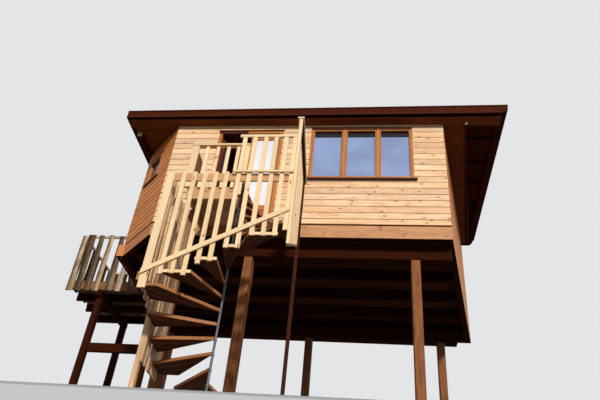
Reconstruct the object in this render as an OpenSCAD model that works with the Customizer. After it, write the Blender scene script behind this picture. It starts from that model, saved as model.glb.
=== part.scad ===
// Raised timber cabin with a square winder stair, a landing and a slab-railed deck.
// Millimetres, +Z up, X along the front wall, +Y into the cabin, ground at z = 0.

/* [Cabin] */
// Level of the floor and foot of the cladding
floor_z = 3596; // [2500:4500]
// Level of the wall tops
wall_top = 5915; // [5000:7000]
// Wall thickness
wall_t = 110; // [60:200]
// Depth of the edge beams under the walls
rim_h = 246; // [150:350]
// Opening angle of the right-hand wall from square
right_splay = 11.5; // [0:15]

/* [Stair] */
// Going up in this many rises from ground to landing
rises = 19; // [15:22]
// Landing level
landing_z = 3568; // [2500:4500]
// Tread thickness
tread_t = 45; // [25:70]
// Radius of the steel centre pole
pole_r = 16; // [10:40]

/* [Roof] */
// Depth of the fascia boards
fascia_h = 205; // [120:300]

/* [Door leaves] */
// How far the left leaf stands open at rest, in degrees
left_leaf_open = 90; // [0:95]

/* [Hidden] */

// cabin plan, outer faces
fy = -1085; ry = 2915; lx = -2720; fx0 = -1920; fx1 = 3152; cy = -285;
rsh = (ry - fy) * tan(right_splay);
rx = fx1 + rsh;
rim_z = floor_z - rim_h;
rise = landing_z / rises;
gap = 5;

// rear edge angle of each tread about the pole, lowest tread first
edge = [82, 107, 131, 155.5, 177.5, 199.5, 225.5, 247.5, 272, 293.5, 318.5, 336, 357.5, 381, 405.5, 429.5, 453, 469.5];
// width of each tread as an angle
wedge = [26, 26, 26, 26, 26, 26, 26, 23.5, 23.5, 17.5, 19, 16, 26, 26, 26, 26, 26, 26];
px = -26; py = -2490;
well_y0 = -3140; well_y1 = -1725; skew = 0.0636;
function wl(y) = -840 - skew * (y - well_y0);
function wr(y) = 826 - skew * (y - well_y0);

// door and window openings in the front wall
dx0 = -1070; dx1 = 180; dz1 = 5760; df = 60;
wx0 = 710; wx1 = 2590; wz0 = 4596; wz1 = 5830;
leaf_t = 45; leaf_y0 = -1025;
lz0 = floor_z + 10; lz1 = dz1 - df - gap;
ll0 = dx0 + df + gap; ll1 = -450; rl0 = -440; rl1 = dx1 - df - gap;
stile = 90; rail_b = 430; rail_t = 95;

module plan_outer(d = 0) {
  polygon(inset(d));
}
// a wall or beam standing inside a line from p to q, t thick to its left hand
module strip(p, q, t, z0, z1) {
  L = norm(q - p);
  translate([p[0], p[1], z0]) rotate([0, 0, atan2(q[1] - p[1], q[0] - p[0])])
    cube([L, t, z1 - z0]);
}
module box(x0, x1, y0, y1, z0, z1) { translate([x0, y0, z0]) cube([x1 - x0, y1 - y0, z1 - z0]); }
module slab(pts, z0, z1) { translate([0, 0, z0]) linear_extrude(z1 - z0) polygon(pts); }

// ---------- under the cabin
module ground_posts() color([0.42, 0.25, 0.13]) {
  for (p = [[-148, -775], [2600, -775]]) box(p[0] - 107, p[0] + 38, p[1] - 110, p[1] + 110, 0, rim_z - 270);
  for (p = [[-2400, 2400], [600, 2400], [3300, 2400]]) box(p[0] - 107, p[0] + 38, p[1] - 110, p[1] + 110, 0, rim_z - 270);
}
module main_beams() color([0.34, 0.19, 0.10]) {
  box(-1900, 3150, -885, -665, rim_z - 270, rim_z);
  box(-2700, 3600, 2290, 2510, rim_z - 270, rim_z);
}
module floor_joists() color([0.36, 0.2, 0.11]) {
  intersection() {
    for (i = [0:4]) box(-4000, 4500, -445 + 740 * i, -385 + 740 * i, rim_z, floor_z - 30);
    translate([0, 0, rim_z - 1]) linear_extrude(rim_h) plan_outer(wall_t);
  }
}
module cabin_floor() color([0.6, 0.42, 0.25])
  translate([0, 0, floor_z - 30]) linear_extrude(30) plan_outer(wall_t);

// corner points of the plan, mitred inward by wall_t
function inset(d) = [[fx0 + d * 0.4142, fy + d], [fx1 - d * tan((90 - right_splay) / 2), fy + d],
  [rx - d * (1 + sin(right_splay)) / cos(right_splay), ry - d], [lx + d, ry - d], [lx + d, cy + d * 0.4142]];
O = inset(0);
function I(t) = inset(t);
module side(a, b, z0, z1, t = wall_t) { slab([O[a], O[b], I(t)[b], I(t)[a]], z0, z1); }

module front_rim_beam() color([0.77, 0.55, 0.35]) side(0, 1, rim_z, floor_z);
module right_rim_beam() color([0.77, 0.55, 0.35]) side(1, 2, rim_z, floor_z);
module rear_rim_beam() color([0.77, 0.55, 0.35]) side(2, 3, rim_z, floor_z);
module left_rim_beam() color([0.77, 0.55, 0.35]) {
  // its front end runs on past the corner and shows as a lit beam end
  slab([O[3], I(wall_t)[3], I(wall_t)[4], O[4]], rim_z, floor_z);
  slab([[lx - 55, cy - 80], [lx + 78, cy - 80], [lx + 78, cy - 78], O[4], [lx, ry], [lx - 55, ry]], rim_z, floor_z);
}
module chamfer_rim_beam() color([0.72, 0.48, 0.28]) side(4, 0, rim_z, floor_z);

// ---------- walls
module front_wall_left() color([0.88, 0.72, 0.5])
  slab([O[0], [dx0, fy], [dx0, fy + wall_t], I(wall_t)[0]], floor_z, wall_top);
module door_header() color([0.88, 0.72, 0.5]) box(dx0, dx1, fy, fy + wall_t, dz1, wall_top);
module front_wall_right() color([0.88, 0.72, 0.5]) difference() {
  slab([[dx1, fy], O[1], I(wall_t)[1], [dx1, fy + wall_t]], floor_z, wall_top);
  box(wx0, wx1, fy - 10, fy + wall_t + 10, wz0, wz1);
}
// the small window sits in the chamfer wall, measured along it from the front corner
cwa = 470; cwb = 990; cwz0 = 4945; cwz1 = 5545;
module on_chamfer() { translate([fx0, fy, 0]) rotate([0, 0, 135]) children(); }
module chamfer_wall() color([0.8, 0.6, 0.38]) difference() {
  side(4, 0, floor_z, wall_top);
  on_chamfer() box(cwa, cwb, -wall_t - 20, 20, cwz0, cwz1);
}
module left_wall() color([0.8, 0.6, 0.38]) side(3, 4, floor_z, wall_top);
module right_wall() color([0.8, 0.6, 0.38]) side(1, 2, floor_z, wall_top);
module rear_wall() color([0.8, 0.6, 0.38]) side(2, 3, floor_z, wall_top);

module window_frame() color([0.66, 0.4, 0.16]) {
  difference() {
    box(wx0, wx1, fy, fy + wall_t, wz0, wz1);
    for (i = [0:2]) let (w = (wx1 - wx0 - 2 * 65 - 2 * 105) / 3, x = wx0 + 65 + i * (w + 105))
      box(x, x + w, fy - 5, fy + wall_t + 5, wz0 + 65, wz1 - 65);
  }
  // the sill stands out in front of the cladding
  box(wx0 - 35, wx1 + 55, fy - 45, fy, wz0 - 32, wz0 + 6);
}
// the three front panes and the small pane in the chamfer wall
module window_glass() color([0.7, 0.75, 0.85, 0.5]) {
  for (i = [0:2]) let (w = (wx1 - wx0 - 2 * 65 - 2 * 105) / 3, x = wx0 + 65 + i * (w + 105))
    box(x, x + w, fy + 45, fy + 57, wz0 + 65, wz1 - 65);
  on_chamfer() box(cwa + 55, cwb - 55, -57, -45, cwz0 + 55, cwz1 - 55);
}
module chamfer_window_frame() color([0.66, 0.4, 0.16]) on_chamfer() difference() {
  box(cwa, cwb, -wall_t, 0, cwz0, cwz1);
  box(cwa + 55, cwb - 55, -wall_t - 5, 5, cwz0 + 55, cwz1 - 55);
}

// ---------- door
module door_frame() color([0.66, 0.4, 0.16]) difference() {
  box(dx0, dx1, fy, fy + wall_t, floor_z, dz1);
  box(dx0 + df, dx1 - df, fy - 5, fy + wall_t + 5, floor_z - 5, dz1 - df);
}
module leaf(x0, x1) difference() {
  box(x0, x1, leaf_y0, leaf_y0 + leaf_t, lz0, lz1);
  box(x0 + stile, x1 - stile, leaf_y0 - 5, leaf_y0 + leaf_t + 5, lz0 + rail_b, lz1 - rail_t);
}
module pane(x0, x1) box(x0 + stile, x1 - stile, leaf_y0 + 18, leaf_y0 + 28, lz0 + rail_b, lz1 - rail_t);
// the left leaf turns about its inner edge
hx = dx0 + df + 2; hy = leaf_y0 + leaf_t + 5;
module swung() { translate([hx, hy, 0]) rotate([0, 0, left_leaf_open]) translate([-hx, -hy, 0]) children(); }
module left_door_leaf() color([0.6, 0.33, 0.13]) swung() leaf(ll0, ll1);
module left_door_glass() color([0.8, 0.85, 0.9, 0.5]) swung() pane(ll0, ll1);
module right_door_leaf() color([0.6, 0.33, 0.13]) leaf(rl0, rl1);
module right_door_glass() color([0.8, 0.85, 0.9, 0.5]) pane(rl0, rl1);

// ---------- roof
rfx0 = -2960; rfx1 = 4320; rfy0 = -1285; rfy1 = 3190;
roof_top = 6200;
deck_top = 6150;
module eave_board() color([0.35, 0.15, 0.08])
  slab([[-2930, rfy0 + 40], [4180, rfy0 + 40], [4180, -1030], [3606, -1030], [4140, ry + 60],
        [lx - 130, ry + 60], [lx - 130, -1030], [-2930, -1030]], wall_top, wall_top + 30);
module eave_beams() color([0.3, 0.13, 0.07]) {
  // above the soffit, under the joists
  strip([3540, -1075], [4060, ry - 20], 45, wall_top + 30, wall_top + 115);
  box(-2850, -2790, -1200, ry, wall_top + 30, wall_top + 115);
  box(300, 380, -1200, ry, wall_top + 30, wall_top + 115);
  // below the soffit, outside the side walls
  box(lx - 102, lx - 7, -925, ry, wall_top - 110, wall_top);
  strip([3590, -1154], [4115, ry - 20], 45, wall_top - 70, wall_top);
}
module roof_joists() color([0.3, 0.13, 0.07])
  for (y = [-1200, -535, 165, 865, 1565, 2265, 2880]) box(rfx0 + 30, 4150, y, y + 45, wall_top + 115, deck_top - 40);
module roof_deck() color([0.3, 0.28, 0.26]) box(rfx0 + 30, rfx1 - 30, rfy0 + 30, rfy1 - 30, deck_top - 40, deck_top);
// the front and rear boards rise a little to the right and sweep up at the right end
module fascia(y) translate([0, y, 0]) rotate([90, 0, 0]) linear_extrude(30)
  polygon([[rfx0, roof_top - fascia_h - 27], [4195, roof_top - fascia_h], [4258, roof_top - 156], [rfx1, roof_top - 30],
           [rfx1, roof_top], [rfx0, deck_top]]);
module front_fascia() color([0.3, 0.12, 0.07]) fascia(rfy0 + 30);
module rear_fascia() color([0.3, 0.12, 0.07]) fascia(rfy1);
module side_fascias() color([0.3, 0.12, 0.07]) {
  box(rfx0, rfx0 + 30, rfy0 + 30, rfy1 - 30, roof_top - fascia_h - 27, deck_top);
  // thin edge board, and a deeper one set back under it
  box(rfx1 - 30, rfx1, rfy0 + 30, rfy1 - 30, roof_top - 80, roof_top);
  box(4150, 4180, rfy0 + 30, rfy1 - 30, roof_top - fascia_h, deck_top - 40);
}

// ---------- stair
module stair_pole() color([0.6, 0.6, 0.6]) translate([px, py, 0]) cylinder(r = pole_r, h = (rises - 1) * rise, $fn = 32);
module well() slab([[wl(well_y0), well_y0], [wr(well_y0), well_y0], [wr(well_y1), well_y1], [wl(well_y1), well_y1]], 0, landing_z);
module stair_treads() color([0.6, 0.38, 0.2]) intersection() {
  difference() {
    for (i = [0:len(edge) - 1]) let (a1 = edge[i], a0 = a1 - wedge[i], z = (i + 1) * rise)
      translate([px, py, z - tread_t]) linear_extrude(tread_t)
        polygon([[0, 0], 2600 * [cos(a0), sin(a0)], 2600 * [cos((a0 + a1) / 2), sin((a0 + a1) / 2)], 2600 * [cos(a1), sin(a1)]]);
    translate([px, py, -1]) cylinder(r = pole_r + 0.3, h = landing_z, $fn = 32);
  }
  well();
}
// the front screen: battens with stepped feet, fixed to a board behind
bat_w = 60; bat_t = 25; bat_p = 146.5;
function tread_under(k) = k * rise - tread_t;
feet = [8, 8, 8, 9, 9, 10, 10, 11, 11, 11, 12];
// how far each foot runs on below its tread
foot_d = [32, 21, 43, 69, 27, 20, 20, 20, 22, 20, 122];
// left edges of the six tall battens
tall_x = [52, 196, 352, 497, 640, 764];
module front_screen() color([0.93, 0.85, 0.68]) {
  for (i = [0:10]) let (x = i < 5 ? -700 + bat_p * i : tall_x[i - 5])
    box(x, x + bat_w, well_y0 - bat_t, well_y0, tread_under(feet[i]) - foot_d[i], i < 5 ? 3020 : 3656);
  box(-800, 790, well_y0, well_y0 + 25, 2880, 3010);
  box(0, 826, well_y0 - bat_t - 25, well_y0 - bat_t, 2998, 3035);
  // cap over the six tall battens
  box(6, 820, -3167, -3137, 3656, 3706);
  // rail that climbs across the battens
  translate([0, well_y0 - bat_t, 0]) rotate([90, 0, 0]) linear_extrude(25)
    polygon([[-905, 1410], [826, 2376], [826, 2450], [-905, 1484]]);
}
module corner_plank() color([0.95, 0.88, 0.72]) {
  box(-905, -805, well_y0 - bat_t, well_y0, 1235, 3020);
  box(-940, -905, well_y0 - bat_t, well_y0, 1336, 1447);
}
module right_side() { translate([826, well_y0, 0]) rotate([0, 0, atan(skew)]) children(); }
module left_side() { translate([-840, well_y0, 0]) rotate([0, 0, atan(skew)]) children(); }
module right_screen() color([0.85, 0.74, 0.55]) right_side() {
  box(0, 45, -25, 45, 1887, 4010);
  for (j = [0:7]) let (y = 175 + 140 * j)
    box(0, bat_t, y, y + bat_w, 1890 + 0.62 * (y + 30), 4010);
  // dark board along the outside under the handrail
  box(bat_t, bat_t + 25, 45, 1262, 3880, 4005);
  // handrail
  box(-30, 65, -35, 1500, 4010, 4045);
}
left_feet = [1230, 1190, 1150, 1105, 576, 576, 576, 576, 576];
module left_screen() color([0.6, 0.45, 0.3]) left_side() {
  for (j = [0:8]) let (y = 20 + 150 * j)
    box(-bat_t, 0, y, y + (j > 5 ? 130 : 75), left_feet[j], 3020);
  box(-bat_t - 25, -bat_t, 10, 1330, 2880, 3010);
  box(-bat_t - 25, -bat_t, 10, 1330, 1300, 1380);
}
module stair_posts() color([0.5, 0.32, 0.18]) {
  left_side() box(-95, 0, 1352, 1442, 0, 3370);
  left_side() box(-85, -25, 612, 690, 0, 1300);
  right_side() box(0, 50, 1262, 1312, 0, 4010);
}

// ---------- landing in front of the open leaf
module landing_deck() color([0.85, 0.7, 0.5]) {
  box(-990, -170, -2135, fy, landing_z - 30, landing_z);
  translate([0, -2105, 0]) rotate([90, 0, 0]) linear_extrude(30)
    polygon([[-1020, landing_z - 30], [-1000, 3335], [-168, 3335], [-168, 3384], [-110, 3384], [-110, landing_z - 30]]);
  // block under its right end
  box(-180, -110, -2135, -2105, 3145, 3335);
  box(-990, -945, -2105, fy, 3370, landing_z - 30);
  box(-215, -170, -2105, fy, 3395, landing_z - 30);
}
module landing_railing() color([0.93, 0.85, 0.68]) {
  box(-1080, -110, -2190, -2100, 4400, 4440);
  box(-1065, -960, -2180, -2135, 3538, 4400);
  box(-210, -110, -2180, -2135, 3390, 4400);
  for (x = [-845, -670, -495, -330]) box(x, x + 55, -2163, -2135, landing_z - 30, 4400);
  // boards that close the left side behind the corner post
  box(-985, -960, -2135, -1885, landing_z, 4290);
}

// ---------- rear deck
rdx0 = -4290; rdx1 = lx - 55; rdy0 = 915; rdy1 = 2515; rdz = 3520;
rd_l = rdx1 - rdx0;
module rear_deck_boards() color([0.5, 0.38, 0.26]) box(rdx0, rdx1, rdy0, rdy1, rdz - 30, rdz);
module rear_deck_frame() color([0.35, 0.22, 0.13]) {
  for (y = [rdy0, rdy0 + 500, rdy0 + 1000, rdy1 - 60]) box(rdx0, rdx1, y, y + 60, rdz - 190, rdz - 30);
  // bearer across the two posts, under all four joists
  box(-3640, -3520, rdy0, rdy1, rdz - 310, rdz - 190);
  for (y = [1000, 2380]) box(-3640, -3520, y, y + 120, 0, rdz - 310);
  box(-3520, -2415, 1020, 1100, 2080, 2250);
  box(-2415, -2295, 1000, 1120, 0, rim_z);
}
// rough slabs with gaps, widths a little uneven as sawn
module slab_row(L, n) for (i = [0:n - 1]) let (p = L / n, w = p * (0.62 + 0.1 * sin(97 * i)))
  box(i * p + 4, i * p + 4 + w, -30, 0, rdz - 60, rdz + 1090 + 12 * sin(53 * i));
// front row: each slab leans its own way; the last two are short stubs beside the cabin
front_slabs = [
  [[-4297, 3290], [-4157, 3290], [-4202, 4620], [-4318, 4600]],
  [[-4120, 3285], [-3981, 3290], [-4027, 4635], [-4189, 4625]],
  [[-3917, 3300], [-3787, 3295], [-3829, 4615], [-3945, 4625]],
  [[-3728, 3285], [-3604, 3290], [-3612, 4630], [-3721, 4620]],
  [[-3482, 3300], [-3303, 3305], [-3379, 4610], [-3482, 4600]],
  [[-3251, 3290], [-3143, 3295], [-3118, 3810], [-3225, 3958], [-3246, 3810]],
  [[-2993, 3285], [-2851, 3290], [-2864, 3525], [-2925, 3560], [-3067, 3738]]];
module slab_rail_front() color([0.5, 0.42, 0.33]) {
  for (p = front_slabs) translate([0, rdy0, 0]) rotate([90, 0, 0]) linear_extrude(30) polygon(p);
  box(rdx0, lx, rdy0, rdy0 + 35, rdz + 1040, rdz + 1095);
}
module slab_rail_left() color([0.5, 0.42, 0.33]) translate([rdx0, rdy1, 0]) rotate([0, 0, -90]) {
  slab_row(1600, 7);
  box(0, 1565, 0, 35, rdz + 1040, rdz + 1095);
}
module slab_rail_rear() color([0.5, 0.42, 0.33]) translate([rdx1, rdy1, 0]) rotate([0, 0, 180]) {
  slab_row(rd_l, 7);
  box(-55, rd_l - 35, 0, 35, rdz + 1040, rdz + 1095);
}

ground_posts();
main_beams();
floor_joists();
cabin_floor();
front_rim_beam();
chamfer_rim_beam();
left_rim_beam();
right_rim_beam();
rear_rim_beam();
front_wall_left();
door_header();
front_wall_right();
chamfer_wall();
left_wall();
right_wall();
rear_wall();
window_frame();
window_glass();
chamfer_window_frame();
door_frame();
left_door_leaf();
left_door_glass();
right_door_leaf();
right_door_glass();
eave_board();
eave_beams();
roof_joists();
roof_deck();
front_fascia();
rear_fascia();
side_fascias();
stair_pole();
stair_treads();
front_screen();
corner_plank();
left_screen();
right_screen();
stair_posts();
landing_deck();
landing_railing();
rear_deck_boards();
rear_deck_frame();
slab_rail_front();
slab_rail_left();
slab_rail_rear();
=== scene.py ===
import bpy, math, random
from mathutils import Matrix, Vector, noise

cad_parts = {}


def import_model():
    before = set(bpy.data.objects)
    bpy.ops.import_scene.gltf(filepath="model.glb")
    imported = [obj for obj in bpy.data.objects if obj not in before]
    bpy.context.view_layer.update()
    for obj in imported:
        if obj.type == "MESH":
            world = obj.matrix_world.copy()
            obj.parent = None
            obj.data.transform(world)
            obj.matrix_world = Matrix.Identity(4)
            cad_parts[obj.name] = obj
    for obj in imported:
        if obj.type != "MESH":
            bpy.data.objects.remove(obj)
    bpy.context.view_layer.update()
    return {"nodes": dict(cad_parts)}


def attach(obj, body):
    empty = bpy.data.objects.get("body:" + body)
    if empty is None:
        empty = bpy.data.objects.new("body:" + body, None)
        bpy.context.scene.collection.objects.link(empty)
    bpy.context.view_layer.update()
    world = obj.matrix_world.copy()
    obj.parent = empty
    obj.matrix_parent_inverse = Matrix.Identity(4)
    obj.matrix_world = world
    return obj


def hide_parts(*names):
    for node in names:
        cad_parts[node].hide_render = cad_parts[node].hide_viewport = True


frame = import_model()
N = frame["nodes"]
rng = random.Random(11)
scene = bpy.context.scene


# ------------------------------------------------------------------ colours and materials
def lin(r, g, b):
    f = lambda c: (c / 255 / 12.92) if c / 255 <= 0.04045 else ((c / 255 + 0.055) / 1.055) ** 2.4
    return (f(r), f(g), f(b), 1.0)


class Nodes:
    """Small helper that wires a material's nodes."""

    def __init__(s, name):
        s.mat = bpy.data.materials.new(name)
        s.mat.use_nodes = True
        s.t = s.mat.node_tree
        s.t.nodes.clear()
        s.out = s.t.nodes.new("ShaderNodeOutputMaterial")
        s.p = s.t.nodes.new("ShaderNodeBsdfPrincipled")
        s.t.links.new(s.p.outputs[0], s.out.inputs[0])

    def new(s, kind, **kw):
        n = s.t.nodes.new(kind)
        for k, v in kw.items():
            setattr(n, k, v)
        return n

    def link(s, a, b):
        s.t.links.new(a, b)

    def attr(s, name):
        n = s.new("ShaderNodeAttribute", attribute_name=name)
        n.attribute_type = "GEOMETRY"
        return n

    def scaled(s, vec, k):
        n = s.new("ShaderNodeVectorMath", operation="MULTIPLY")
        s.link(vec, n.inputs[0])
        n.inputs[1].default_value = k
        return n.outputs[0]

    def math(s, op, a, b=None, clamp=False):
        n = s.new("ShaderNodeMath", operation=op, use_clamp=clamp)
        for i, v in enumerate((a, b)):
            if v is None:
                continue
            if isinstance(v, (int, float)):
                n.inputs[i].default_value = v
            else:
                s.link(v, n.inputs[i])
        return n.outputs[0]

    def noise(s, vec, scale=1.0, detail=4.0, rough=0.55, dist=0.0):
        n = s.new("ShaderNodeTexNoise")
        s.link(vec, n.inputs["Vector"])
        n.inputs["Scale"].default_value = scale
        n.inputs["Detail"].default_value = detail
        n.inputs["Roughness"].default_value = rough
        n.inputs["Distortion"].default_value = dist
        return n.outputs[0]

    def mix(s, fac, a, b, mode="MIX"):
        n = s.new("ShaderNodeMix", data_type="RGBA", blend_type=mode)
        for sock, v in ((n.inputs[0], fac), (n.inputs[6], a), (n.inputs[7], b)):
            if isinstance(v, (int, float)):
                sock.default_value = v
            elif isinstance(v, tuple):
                sock.default_value = v
            else:
                s.link(v, sock)
        return n.outputs[2]

    def ramp(s, val, lo, hi):
        n = s.new("ShaderNodeMapRange", interpolation_type="SMOOTHSTEP")
        s.link(val, n.inputs[0])
        n.inputs[1].default_value = lo
        n.inputs[2].default_value = hi
        return n.outputs[0]


def wood(name, light, dark, knot=(70, 38, 18), tone=0.22, warm=None, rough=0.62, bump=0.25,
         knots=0.5, ring=0.6, fibre=0.45, dirt_and_shade=(40, 20, 10), dirt_and_shade_k=0.8, coat=0.0, spec=0.35, patch=0.0, patch_col=None, rings=8.0):
    """Timber whose grain follows each piece: gco holds the place along and across the piece, tone its own tint, and a
    per-vertex mark darkens grooves, edges and ends with dirt and painted groove shade.
    """
    m = Nodes(name)
    g, t, d = m.attr("gco").outputs["Vector"], m.attr("tone").outputs["Fac"], m.attr("dirt_and_shade").outputs["Fac"]
    vor = m.new("ShaderNodeTexVoronoi", voronoi_dimensions="2D", feature="F1")
    m.link(m.scaled(g, (2.6, 7.0, 1.0)), vor.inputs["Vector"])
    vor.inputs["Scale"].default_value = 1.0
    sep = m.new("ShaderNodeSeparateColor")
    m.link(vor.outputs["Color"], sep.inputs[0])
    there = m.math("GREATER_THAN", sep.outputs[0], 1.0 - knots)
    near = m.math("MULTIPLY", m.math("SUBTRACT", 1.0, m.ramp(vor.outputs["Distance"], 0.02, 0.34)), there)
    core = m.math("MULTIPLY", m.math("SUBTRACT", 1.0, m.ramp(vor.outputs["Distance"], 0.045, 0.095)), there)
    broad = m.noise(m.scaled(g, (0.55, 9.0, 9.0)), 1.0, 3.0, 0.5, 0.9)
    level = m.math("ADD", m.math("MULTIPLY", broad, rings), m.math("MULTIPLY", near, 1.6))
    line = m.math("PINGPONG", level, 0.5)
    line = m.ramp(m.math("MULTIPLY", line, 2.0), 0.35, 1.0)
    fine = m.noise(m.scaled(g, (3.0, 95.0, 95.0)), 1.0, 4.0, 0.62, 0.2)
    cloud = m.noise(m.scaled(g, (0.9, 3.0, 3.0)), 1.0, 2.0, 0.5, 0.0)
    fac = m.math("ADD", m.math("MULTIPLY", line, ring), m.math("MULTIPLY", m.math("SUBTRACT", fine, 0.42), fibre * 1.9))
    fac = m.math("ADD", fac, m.math("MULTIPLY", m.math("SUBTRACT", cloud, 0.5), 0.5), clamp=True)
    col = m.mix(fac, lin(*light), lin(*dark))
    shade = m.math("ADD", 1.0, m.math("MULTIPLY", m.math("SUBTRACT", t, 0.5), 2 * tone))
    bright = m.new("ShaderNodeVectorMath", operation="SCALE")
    m.link(col, bright.inputs[0])
    m.link(shade, bright.inputs["Scale"])
    col = bright.outputs[0]
    if warm:
        w = m.math("FRACT", m.math("MULTIPLY", t, 7.31))
        col = m.mix(m.math("MULTIPLY", w, 0.55), col, m.mix(1.0, col, lin(*warm), "MULTIPLY"))
    if patch:
        pn = m.ramp(m.noise(m.scaled(g, (1.7, 5.0, 5.0)), 1.0, 5.0, 0.6, 0.4), 0.48, 0.66)
        col = m.mix(m.math("MULTIPLY", pn, patch), col, lin(*patch_col))
    col = m.mix(m.math("MULTIPLY", near, 0.28), col, lin(*dark))
    col = m.mix(m.math("MULTIPLY", core, 0.85), col, lin(*knot))
    # darken the marked grooves, edges and ends: dirt and painted groove shade
    col = m.mix(m.math("MULTIPLY", d, dirt_and_shade_k), col, lin(*dirt_and_shade))
    m.link(col, m.p.inputs["Base Color"])
    m.link(m.math("ADD", rough - 0.1, m.math("MULTIPLY", fine, 0.2)), m.p.inputs["Roughness"])
    h = m.math("ADD", m.math("MULTIPLY", fine, 0.6), m.math("MULTIPLY", m.math("SUBTRACT", 1.0, line), 0.35))
    h = m.math("SUBTRACT", h, m.math("MULTIPLY", core, 0.4))
    b = m.new("ShaderNodeBump")
    b.inputs["Strength"].default_value = bump
    b.inputs["Distance"].default_value = 0.002
    m.link(h, b.inputs["Height"])
    m.link(b.outputs[0], m.p.inputs["Normal"])
    m.p.inputs["Specular IOR Level"].default_value = spec
    if coat:
        m.p.inputs["Coat Weight"].default_value = coat
        m.p.inputs["Coat Roughness"].default_value = 0.22
    return m.mat


def steel(name, col=(150, 153, 156), rough=0.38):
    m = Nodes(name)
    tc = m.new("ShaderNodeTexCoord").outputs["Object"]
    n = m.noise(m.scaled(tc, (60.0, 60.0, 14.0)), 1.0, 4.0, 0.6, 0.3)
    v = m.new("ShaderNodeTexVoronoi")
    m.link(tc, v.inputs["Vector"])
    v.inputs["Scale"].default_value = 55.0
    s = m.new("ShaderNodeSeparateColor")
    m.link(v.outputs["Color"], s.inputs[0])
    f = m.math("ADD", m.math("MULTIPLY", n, 0.5), m.math("MULTIPLY", s.outputs[0], 0.4), clamp=True)
    m.link(m.mix(f, lin(*col), lin(*(min(255, c + 55) for c in col))), m.p.inputs["Base Color"])
    m.p.inputs["Metallic"].default_value = 0.9
    m.link(m.math("ADD", rough, m.math("MULTIPLY", f, 0.18)), m.p.inputs["Roughness"])
    b = m.new("ShaderNodeBump")
    b.inputs["Strength"].default_value = 0.12
    b.inputs["Distance"].default_value = 0.001
    m.link(n, b.inputs["Height"])
    m.link(b.outputs[0], m.p.inputs["Normal"])
    return m.mat


def glass(name, painted_reflection_col, alpha, metal):
    """Coated double glazing whose colour, with soft cloudy variation, is painted reflection: a part mirror that lets
    part of the dark room show.
    """
    m = Nodes(name)
    tc = m.new("ShaderNodeTexCoord").outputs["Object"]
    n = m.noise(m.scaled(tc, (0.9, 0.9, 1.4)), 1.0, 2.0, 0.5, 0.6)
    m.link(m.mix(m.ramp(n, 0.3, 0.7), lin(*painted_reflection_col), lin(*(min(255, int(c * 1.12)) for c in painted_reflection_col))), m.p.inputs["Base Color"])
    m.p.inputs["Metallic"].default_value = metal
    m.p.inputs["Roughness"].default_value = 0.04
    m.p.inputs["Alpha"].default_value = alpha
    b = m.new("ShaderNodeBump")
    b.inputs["Strength"].default_value = 0.05
    b.inputs["Distance"].default_value = 0.002
    m.link(n, b.inputs["Height"])
    m.link(b.outputs[0], m.p.inputs["Normal"])
    return m.mat


def felt(name):
    m = Nodes(name)
    tc = m.new("ShaderNodeTexCoord").outputs["Object"]
    n = m.noise(tc, 420.0, 2.0, 0.7)
    c = m.noise(tc, 1.6, 5.0, 0.6, 0.5)
    f = m.math("ADD", m.math("MULTIPLY", n, 0.7), m.math("MULTIPLY", c, 0.45), clamp=True)
    m.link(m.mix(f, lin(52, 47, 45), lin(112, 104, 98)), m.p.inputs["Base Color"])
    m.p.inputs["Roughness"].default_value = 0.92
    b = m.new("ShaderNodeBump")
    b.inputs["Strength"].default_value = 0.5
    b.inputs["Distance"].default_value = 0.002
    m.link(n, b.inputs["Height"])
    m.link(b.outputs[0], m.p.inputs["Normal"])
    return m.mat


CLAD = wood("cladding_pine", (244, 212, 172), (212, 164, 120), knot=(120, 66, 34), tone=0.14, warm=(255, 222, 186), knots=0.6, ring=0.55, fibre=0.5, patch=0.5, patch_col=(210, 152, 106), dirt_and_shade=(92, 46, 20), dirt_and_shade_k=0.9)
CLAD_WARM = wood("cladding_pine_warm", (218, 134, 62), (186, 104, 42), knot=(96, 48, 22), tone=0.14, knots=0.45, ring=0.45, fibre=0.4, dirt_and_shade=(70, 28, 10), dirt_and_shade_k=1.0)
LINING = wood("lining_pine", (110, 74, 44), (82, 52, 30), knots=0.4, tone=0.12, ring=0.4, fibre=0.3)
RIM_WARM = wood("rim_pine_warm", (206, 132, 72), (168, 98, 46), knot=(84, 42, 20), tone=0.06, knots=0.4, ring=0.6, fibre=0.4, rings=11.0)
RIM = wood("rim_pine", (208, 150, 98), (166, 108, 64), knot=(84, 42, 20), tone=0.08, knots=0.5, ring=0.7, fibre=0.4, rings=11.0)
JOIN = wood("joinery_varnished", (190, 120, 56), (154, 88, 36), tone=0.08, knots=0.0, ring=0.45, fibre=0.4, rough=0.5, spec=0.25, bump=0.1, dirt_and_shade=(66, 30, 10))
# dark joinery, also painted shade: the drip under the front sill and the left half of the door head
JOIN_DARK_PAINTED_SHADE = wood("joinery_dark_and_painted_shade", (84, 40, 20), (56, 26, 12), tone=0.06, knots=0.0, ring=0.4, fibre=0.3, rough=0.6, spec=0.15, bump=0.1)
# left door leaf: the joinery darkened to red-brown as painted shade
LEAF_PAINTED_SHADE = wood("leaf_painted_shade", (104, 34, 26), (74, 20, 18), tone=0.08, knots=0.0, ring=0.4, fibre=0.3, rough=0.55, spec=0.2, bump=0.1)
ROOF = wood("roof_stained", (72, 26, 8), (48, 16, 5), knot=(26, 10, 6), tone=0.14, knots=0.25, ring=0.4, fibre=0.4, rough=0.75, spec=0.05, dirt_and_shade=(16, 6, 4))
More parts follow.
